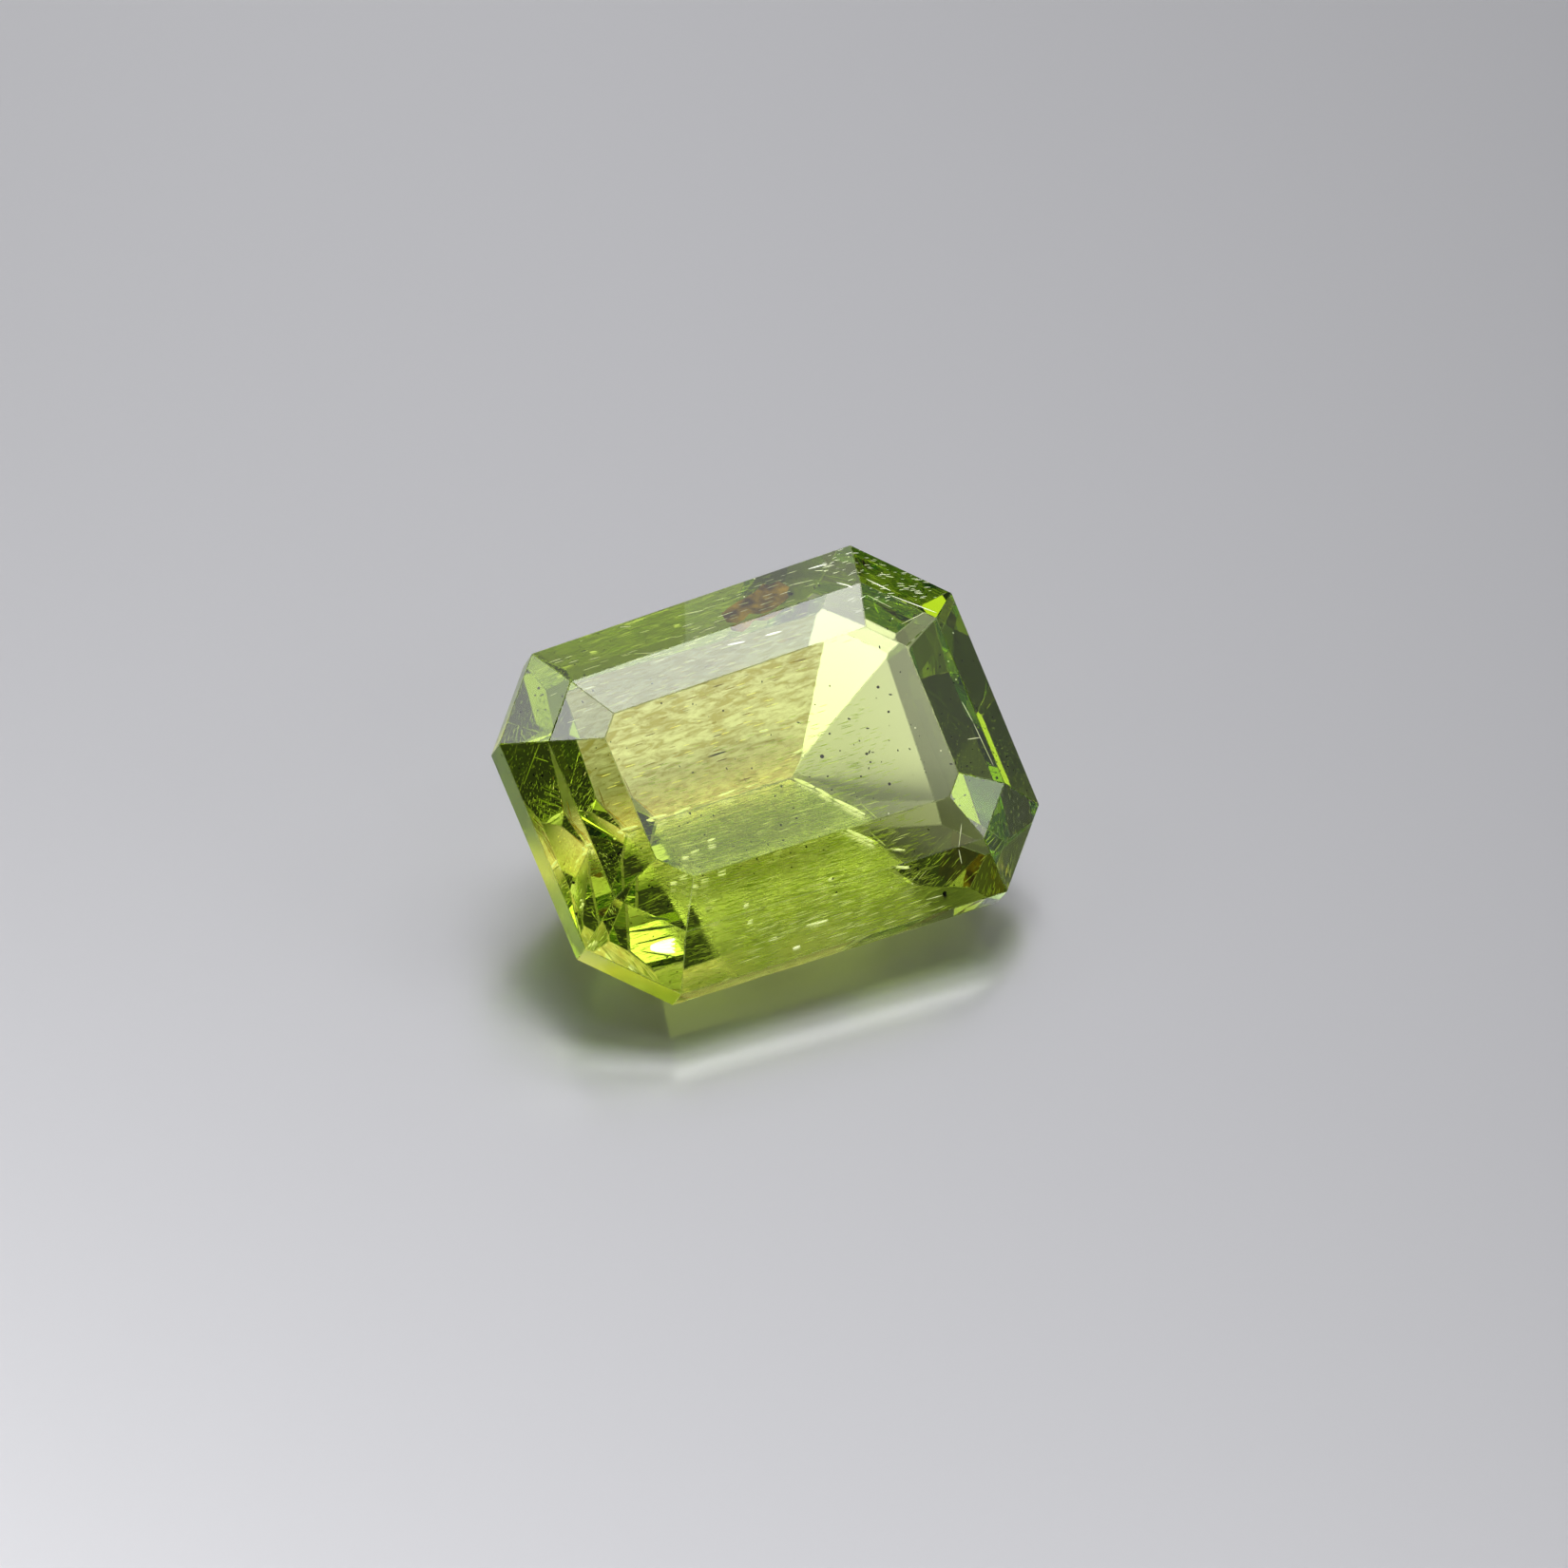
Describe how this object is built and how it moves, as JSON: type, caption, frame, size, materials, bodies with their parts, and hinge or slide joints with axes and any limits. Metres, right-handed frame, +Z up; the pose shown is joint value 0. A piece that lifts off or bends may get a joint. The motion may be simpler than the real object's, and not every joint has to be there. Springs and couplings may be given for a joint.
{
  "type": "faceted peridot",
  "caption": "Clear olive green gemstone cut as a long octagon with straight steps, lying tilted on one facet of its underside.",
  "frame": {"origin": "centre of the bounding box, at the level of the facet that the stone rests on", "axes": "+X along the stone's length, +Z up; the table faces up and towards -Y"},
  "size_m": [0.0092, 0.0064, 0.0047],
  "materials": {
    "peridot_crystal": "clear olive green crystal with polished flat facets, fine needles and specks inside, slightly worn facet edges"
  },
  "bodies": {
    "root": {"peridot": "peridot_crystal"}
  },
  "joints": []
}
